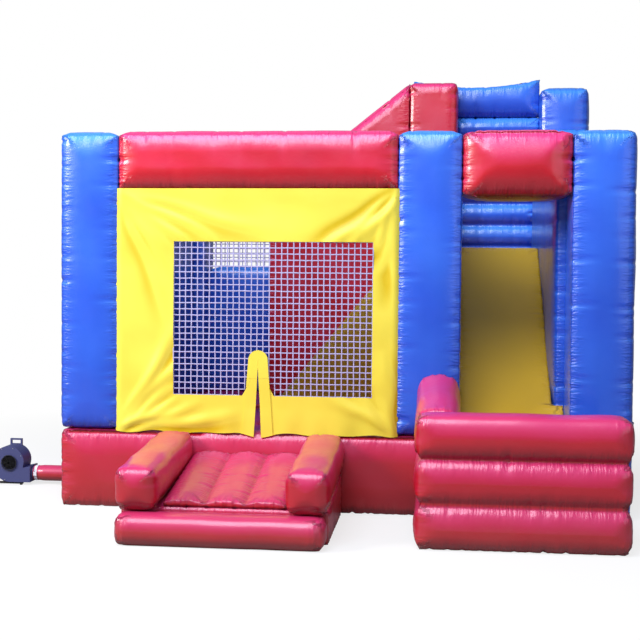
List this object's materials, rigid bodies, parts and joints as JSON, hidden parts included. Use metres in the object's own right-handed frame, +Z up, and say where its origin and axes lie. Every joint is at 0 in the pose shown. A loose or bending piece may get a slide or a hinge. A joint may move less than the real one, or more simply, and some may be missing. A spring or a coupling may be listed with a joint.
{
  "type": "inflatable bounce house",
  "caption": "Inflatable bounce house with a netted bounce room, entrance ramp, climbing wedge, tower platform, enclosed slide with an exit pen, and a blower.",
  "frame": {"origin": "centre of the house's footprint, between the columns, on the ground", "axes": "+Z up, -Y the front with the entrance ramp and the slide exit, +X to the right as seen from the front"},
  "size_m": [5.5527, 4.8363, 3.98],
  "materials": {
    "vinyl_blue": "glossy coated vinyl",
    "vinyl_red": "glossy coated vinyl",
    "vinyl_yellow": "glossy coated vinyl",
    "sheet_yellow": "satin coated cloth",
    "net_white": "knotless net",
    "webbing": "woven webbing",
    "ring_steel": "galvanised",
    "zip_tape": "woven tape with moulded teeth",
    "zip_metal": "painted",
    "strap_white": "woven strap",
    "fan_housing": "moulded",
    "grille": "black wire",
    "fan_wheel": "moulded",
    "motor": "painted casting",
    "rubber_feet": "moulded",
    "control_box": "moulded",
    "switch": "moulded",
    "screws": "zinc plated"
  },
  "bodies": {
    "house": {"bounce_base": "vinyl_red", "slide_base": "vinyl_red", "column_front_left": "vinyl_blue", "column_front_middle": "vinyl_blue", "column_front_right": "vinyl_blue", "column_rear_left": "vinyl_blue", "column_rear_middle": "vinyl_blue", "column_rear_right": "vinyl_blue", "beam_front": "vinyl_red", "beam_slide": "vinyl_red", "beam_left": "vinyl_red", "beam_rear": "vinyl_red", "left_wall": "vinyl_blue", "rear_wall": "vinyl_blue", "divider_wall": "vinyl_blue", "right_wall": "vinyl_blue", "guard_wall": "vinyl_red", "guard_block": "vinyl_red", "tower_back_wall": "vinyl_blue", "tower_back_beam": "vinyl_blue", "platform": "vinyl_yellow", "climb_side_wall": "vinyl_yellow", "climb_ramp": "vinyl_yellow", "climb_steps": "vinyl_red", "climb_handles": "webbing", "slide_chute": "vinyl_yellow", "landing_pad": "vinyl_yellow", "exit_front_wall": "vinyl_red", "exit_left_wall": "vinyl_red", "ramp_pad": "vinyl_red", "ramp_lip": "vinyl_red", "ramp_channels": "vinyl_red", "ramp_bolster_left": "vinyl_red", "ramp_bolster_right": "vinyl_red", "front_panel": "sheet_yellow", "front_net": "net_white", "slit_trim": "sheet_yellow", "rear_net": "net_white", "anchor_tabs": "webbing", "zip_tape": "zip_tape", "inflation_tube": "vinyl_red", "tube_strap": "strap_white", "housing_front": "fan_housing", "housing_rear": "fan_housing", "intake_grille": "grille", "fan_motor": "motor", "fan_stand": "rubber_feet", "control_box": "control_box", "housing_screws": "screws"},
    "flap_left": {"entrance_flap_left": "sheet_yellow"},
    "flap_right": {"entrance_flap_right": "sheet_yellow"},
    "ring_front_left": {"anchor_ring_front_left": "ring_steel"},
    "ring_front_right": {"anchor_ring_front_right": "ring_steel"},
    "ring_rear_left": {"anchor_ring_rear_left": "ring_steel"},
    "ring_rear_right": {"anchor_ring_rear_right": "ring_steel"},
    "ring_top_left": {"anchor_ring_top_left": "ring_steel"},
    "slider": {"zip_slider": "zip_metal"},
    "cover": {"zip_cover": "vinyl_red"},
    "wheel": {"fan_wheel": "fan_wheel"},
    "rocker": {"rocker_switch": "switch"}
  },
  "joints": [
    {"name": "flap_left_fold", "type": "hinge", "parent": "house", "child": "flap_left", "pos_m": [-0.65, -1.732, 1.16], "axis": [-0.4885, 0, -0.8725], "range_deg": [0, 75], "stiffness_Nm_per_rad": 0.6},
    {"name": "flap_right_fold", "type": "hinge", "parent": "house", "child": "flap_right", "pos_m": [-0.65, -1.732, 1.16], "axis": [-0.4885, 0, 0.8725], "range_deg": [0, 75], "stiffness_Nm_per_rad": 0.6},
    {"name": "ring_front_left_swing", "type": "hinge", "parent": "house", "child": "ring_front_left", "pos_m": [-2.3141, -1.5, 0.75], "axis": [0, 1, 0], "range_deg": [0, 120]},
    {"name": "ring_front_right_swing", "type": "hinge", "parent": "house", "child": "ring_front_right", "pos_m": [2.3141, -1.5, 0.75], "axis": [0, -1, 0], "range_deg": [0, 120]},
    {"name": "ring_rear_left_swing", "type": "hinge", "parent": "house", "child": "ring_rear_left", "pos_m": [-2.3141, 1.5, 0.75], "axis": [0, 1, 0], "range_deg": [0, 120]},
    {"name": "ring_rear_right_swing", "type": "hinge", "parent": "house", "child": "ring_rear_right", "pos_m": [2.3141, 1.5, 0.75], "axis": [0, -1, 0], "range_deg": [0, 120]},
    {"name": "ring_top_left_swing", "type": "hinge", "parent": "house", "child": "ring_top_left", "pos_m": [-2.3141, -1.5, 2.92], "axis": [0, 1, 0], "range_deg": [0, 120]},
    {"name": "zip_slide", "type": "slide", "parent": "house", "child": "slider", "axis": [1, 0, 0], "range_m": [0, 0.626]},
    {"name": "cover_lift", "type": "hinge", "parent": "house", "child": "cover", "pos_m": [-0.625, 1.7503, 0.362], "axis": [1, 0, 0], "range_deg": [0, 90]},
    {"name": "wheel_spin", "type": "hinge", "parent": "house", "child": "wheel", "pos_m": [-3.03, -0.79, 0.2], "axis": [0, -1, 0], "continuous": true},
    {"name": "rocker_tip", "type": "hinge", "parent": "house", "child": "rocker", "pos_m": [-3.221, -0.79, 0.216], "axis": [0, -1, 0], "range_deg": [0, 16]}
  ]
}
